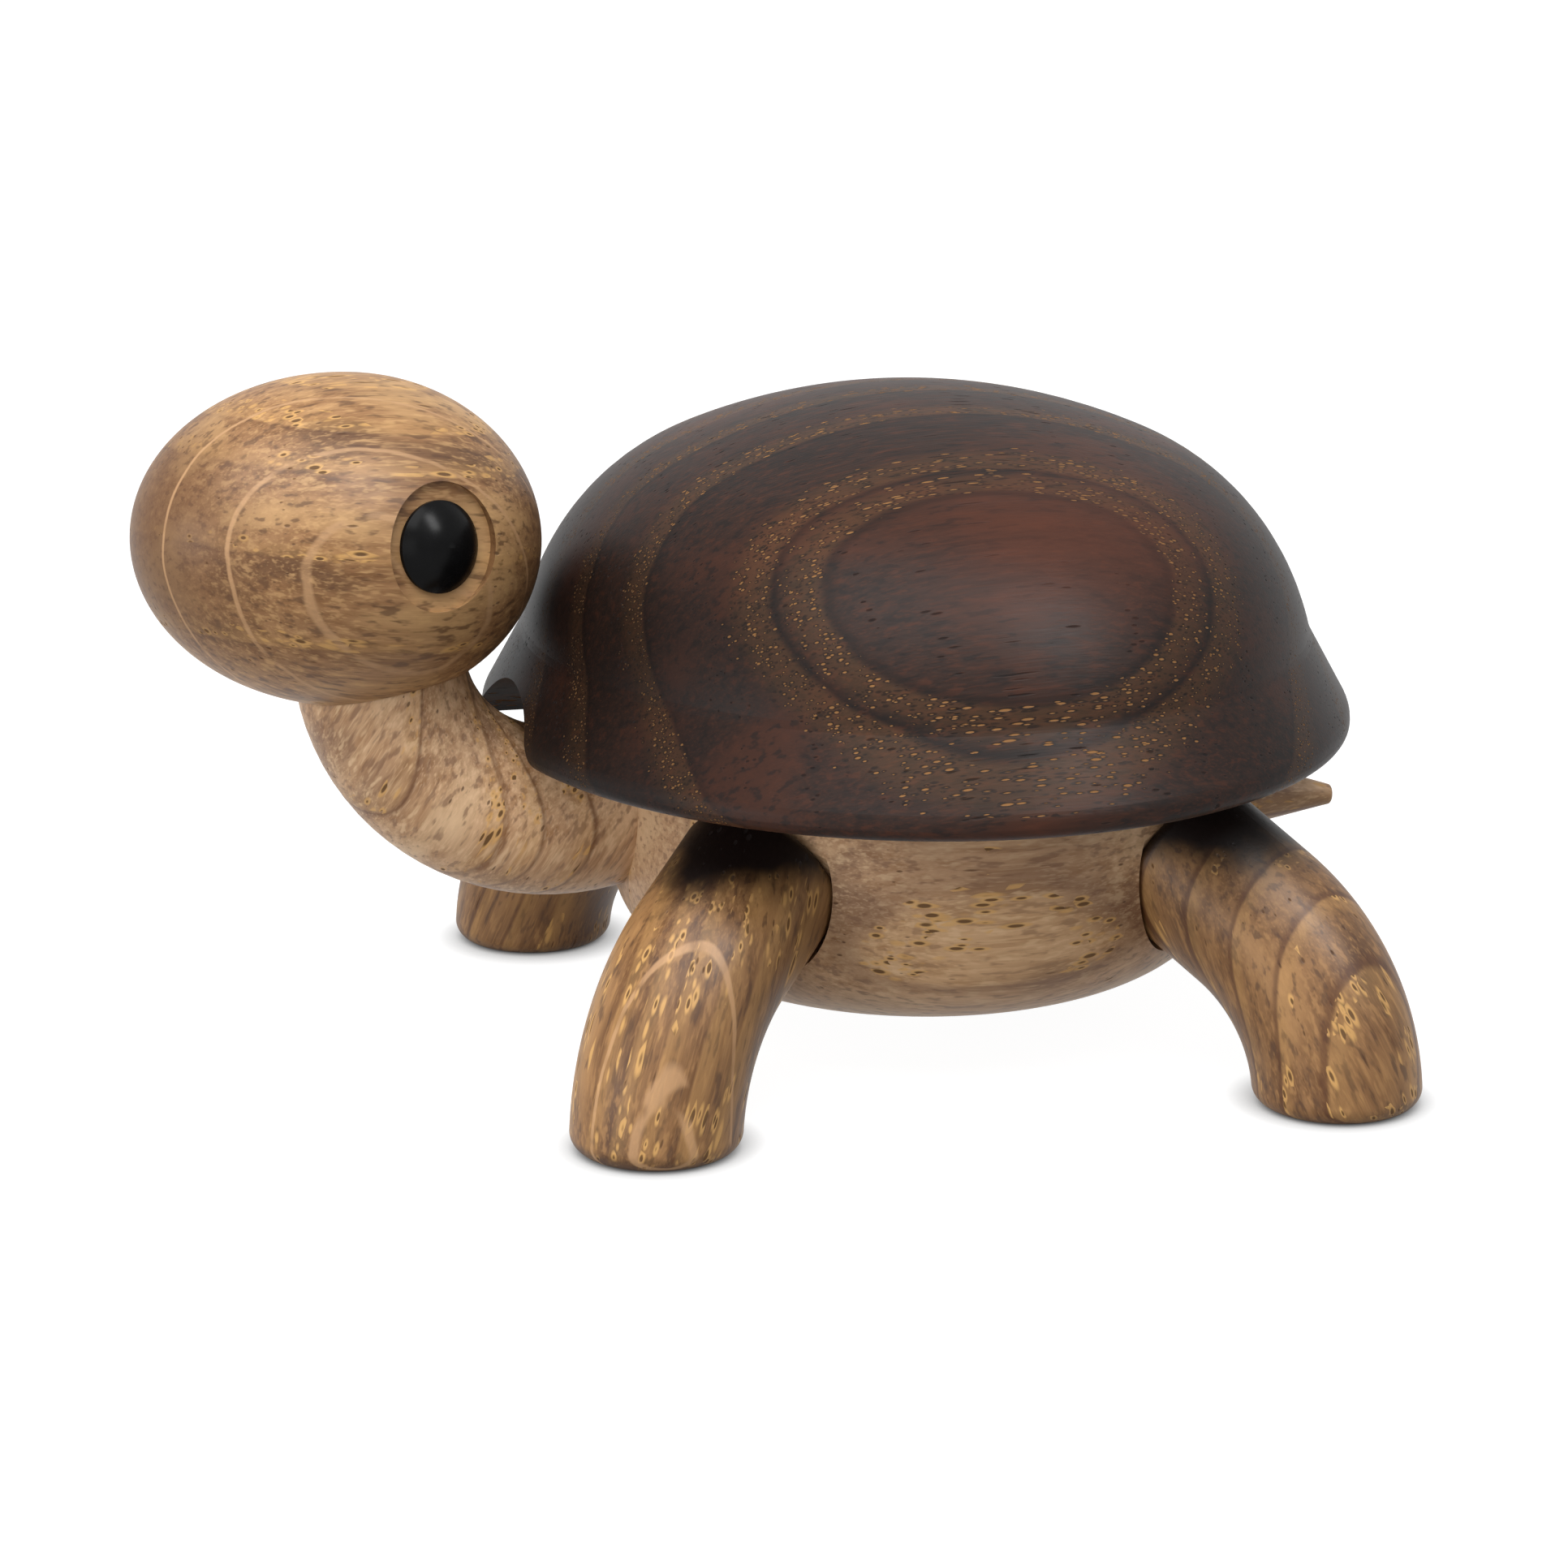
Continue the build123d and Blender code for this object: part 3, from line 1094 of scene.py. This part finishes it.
@dataclass
class Legs:
    """Four turned legs, each cut from its own blank and darkened at the root, partly by
    stain and partly by painted shade from the shell.

    The last field is the height where the root's stain and painted shade set in and
    where they are full, in millimetres.
    """

    front_left: Growth = Growth(
        fibre=(0.285, -0.331, -0.900),
        pith=(14.0, -60.0, 10.0),
        ring_starts=(40.0,),
        ring_spacing=2.0,
        reach=(20.0, 70.0),
        pore_band=1.0,
        wander=0.3,
        line_strength=0.15,
        ray_fibre=(0.092, 0.976, 0.197),
        ray_pith=(-3.03, -20.52, 0.94),
        ray_radii=(31.69, 33.53),
        ray_width=0.14,
    )
    rear_left: Growth = Growth(
        fibre=(0.053, 0.434, -0.899),
        pith=(14.22, 16.04, 8.85),
        ring_starts=(9.19, 11.77, 14.30, 16.47),
        ring_spacing=2.4,
        reach=(2.0, 26.0),
        pore_band=0.6,
        wander=0.3,
        line_strength=0.65,
        end_depth=0.6,
    )
    front_right: Growth = Growth(
        fibre=(-0.30, -0.30, -0.90),
        pith=(-40.0, -50.0, 8.0),
        ring_starts=(30.0,),
        ring_spacing=2.6,
        reach=(10.0, 70.0),
        pore_band=0.7,
    )
    rear_right: Growth = Growth(
        fibre=(-0.25, 0.36, -0.90),
        pith=(-12.0, 60.0, 8.0),
        ring_starts=(30.0,),
        ring_spacing=2.6,
        reach=(10.0, 70.0),
        pore_band=0.7,
    )
    stain_and_shade: Span = (16.0, 18.6)

    def build(self) -> None:
        """Dresses the legs."""
        blanks = {
            "leg_front_left": self.front_left,
            "leg_rear_left": self.rear_left,
            "leg_front_right": self.front_right,
            "leg_rear_right": self.rear_right,
        }
        for node, growth in blanks.items():
            # The legs' darker oak, partly painted shade.
            name = f"dark_oak_and_painted_shade_{node}"
            # Each leg is darkened at the root by a stain and by painted shade from the
            # shell.
            made = OakMaterial(name, growth, DARK_OAK_AND_PAINTED_SHADE, self.stain_and_shade)
            dress(node, made.build())


@dataclass
class Fixings:
    """The dowels glued into the joints and the pivot under the head."""

    growth: Growth = Growth(
        fibre=(0.0, 0.3, 0.95),
        pith=(0.0, -30.0, 0.0),
        ring_starts=(30.0,),
        ring_spacing=2.0,
        reach=(5.0, 60.0),
        pore_band=0.4,
    )
    rods: tuple[str, ...] = (
        "neck_dowel",
        "head_pivot",
        "leg_dowel_front_left",
        "leg_dowel_front_right",
        "leg_dowel_rear_left",
        "leg_dowel_rear_right",
    )

    def build(self) -> None:
        """Dresses the dowels and the pivot."""
        made = OakMaterial("planed_beech", self.growth, BEECH_DOWEL).build()
        for rod in self.rods:
            dress(rod, made)


@dataclass
class Lamp:
    """One soft box: where it stands, its size, its strength and what it is aimed at."""

    name: str
    place: Point
    size: Span
    watts: float
    aim: Point = (0.0, 0.0, 0.022)
    gloss_only: bool = False

    def build(self) -> None:
        """Hangs the lamp."""
        light = bpy.data.lights.new(self.name, "AREA")
        light.shape = "RECTANGLE"
        light.size, light.size_y = self.size
        light.energy = self.watts
        lamp = bpy.data.objects.new(self.name, light)
        bpy.context.scene.collection.objects.link(lamp)
        lamp.location = self.place
        lamp.visible_diffuse = not self.gloss_only
        toward = Vector(self.aim) - Vector(self.place)
        lamp.rotation_euler = toward.to_track_quat("-Z", "Y").to_euler()


@dataclass
class Studio:
    """The white table, the soft boxes and the camera at the photograph's angle.

    The camera's distance and target are in millimetres from the body's axis, and the
    other lengths in metres. `contact` is how far from a sole its shadow fades out.
    """

    white: str = "#ffffff"
    paper: str = "#888888"
    table_half: float = 1.5
    table_lift: float = 0.95
    room_light: float = 0.34
    contact: float = 0.0025
    azimuth: float = 77.493
    elevation: float = 15.873
    distance: float = 368.94
    target: Point = (0.0, -10.316, 18.01)
    sensor: float = 36.0
    frame_pixels: float = 1932.0
    focal_pixels: float = 6272.0
    near_clip: float = 0.01
    lamps: tuple[Lamp, ...] = (
        Lamp("top_box", (0.28, -0.15, 0.72), (0.6, 0.6), 6.7),
        Lamp("glint_box", (0.29, 0.24, 0.43), (0.12, 0.26), 2.6, gloss_only=True),
        Lamp("front_box", (0.8, -0.3, 0.2), (0.5, 0.4), 0.9),
        Lamp("left_box", (0.35, -0.8, 0.12), (0.5, 0.3), 3.0),
    )

    def seen_directly(self, tree: bpy.types.NodeTree) -> Signal:
        """Gives 1 for what the lens, a mirror or a glass shows, and 0 for plain light.

        Args:
            tree: The node tree that takes the nodes.

        Returns:
            The value.
        """
        path = add_node(tree, "LightPath")
        seen = path.outputs["Is Camera Ray"]
        for name in ("Is Glossy Ray", "Is Transmission Ray"):
            rays = (seen, path.outputs[name])
            seen = add_node(tree, "Math", rays, operation="MAXIMUM")
        return seen

    def build_world(self) -> None:
        """Fills the room with even light and shows it white."""
        world = bpy.data.worlds.new("white_room")
        bpy.context.scene.world = world
        world.use_nodes = True
        tree = world.node_tree
        tree.nodes.clear()
        strength = add_node(
            tree,
            "MapRange",
            {"Value": self.seen_directly(tree), "To Min": self.room_light},
        )
        sky = add_node(tree, "Background", (linear(self.white), strength))
        add_node(tree, "OutputWorld", (sky,))

    def build_table(self) -> None:
        """Lays the white table under the soles."""
        half = self.table_half
        mesh = bpy.data.meshes.new("table")
        corners = [
            (-half, -half, 0.0),
            (half, -half, 0.0),
            (half, half, 0.0),
            (-half, half, 0.0),
        ]
        mesh.from_pydata(corners, [], [(0, 1, 2, 3)])
        table = bpy.data.objects.new("table", mesh)
        bpy.context.scene.collection.objects.link(table)
        mesh.materials.append(self.white_sweep())

    def white_sweep(self) -> bpy.types.Material:
        """Makes the paper that shows white and keeps the soles' shadows.

        Returns:
            The table's material.
        """
        made = start_material("white_sweep")
        tree = made.node_tree
        paper = add_node(tree, "BsdfDiffuse", (linear(self.paper),))
        near = add_node(tree, "AmbientOcclusion", {"Distance": self.contact})
        clear = add_node(
            tree, "Math", (near.outputs["AO"], self.table_lift), operation="MULTIPLY"
        )
        lift = add_node(
            tree, "Math", (self.seen_directly(tree), clear), operation="MULTIPLY"
        )
        glow = add_node(tree, "Emission", (linear(self.white), lift))
        both = add_node(tree, "AddShader", (paper, glow))
        add_node(tree, "OutputMaterial", (both,))
        return made

    def build_camera(self) -> None:
        """Stands the camera at the photograph's angle, with its long lens."""
        around, above = math.radians(self.azimuth), math.radians(self.elevation)
        back = Vector(
            (
                math.sin(around) * math.cos(above),
                -math.cos(around) * math.cos(above),
                math.sin(above),
            )
        )
        lens = bpy.data.cameras.new("lens")
        lens.sensor_fit = "HORIZONTAL"
        lens.sensor_width = self.sensor
        lens.lens = self.focal_pixels / self.frame_pixels * self.sensor
        lens.clip_start = self.near_clip
        camera = bpy.data.objects.new("camera", lens)
        bpy.context.scene.collection.objects.link(camera)
        camera.location = (on_frame(self.target) + back * self.distance) * MM
        camera.rotation_euler = Euler((math.pi / 2 - above, 0.0, around))
        bpy.context.scene.camera = camera

    def build(self) -> None:
        """Sets up the room, the table, the lamps and the camera."""
        self.build_world()
        self.build_table()
        for lamp in self.lamps:
            lamp.build()
        self.build_camera()
        bpy.context.scene.view_settings.view_transform = "Standard"


def main() -> None:
    """Builds the studio and dresses every piece."""
    logging.basicConfig(level=logging.INFO, format="%(name)s: %(message)s")
    Studio().build()
    plated = NICKEL_PLATE.build()
    Shell().build(plated)
    Head().build()
    Neck().build()
    Body().build(plated)
    Legs().build()
    Fixings().build()


if __name__ == "__main__":
    main()
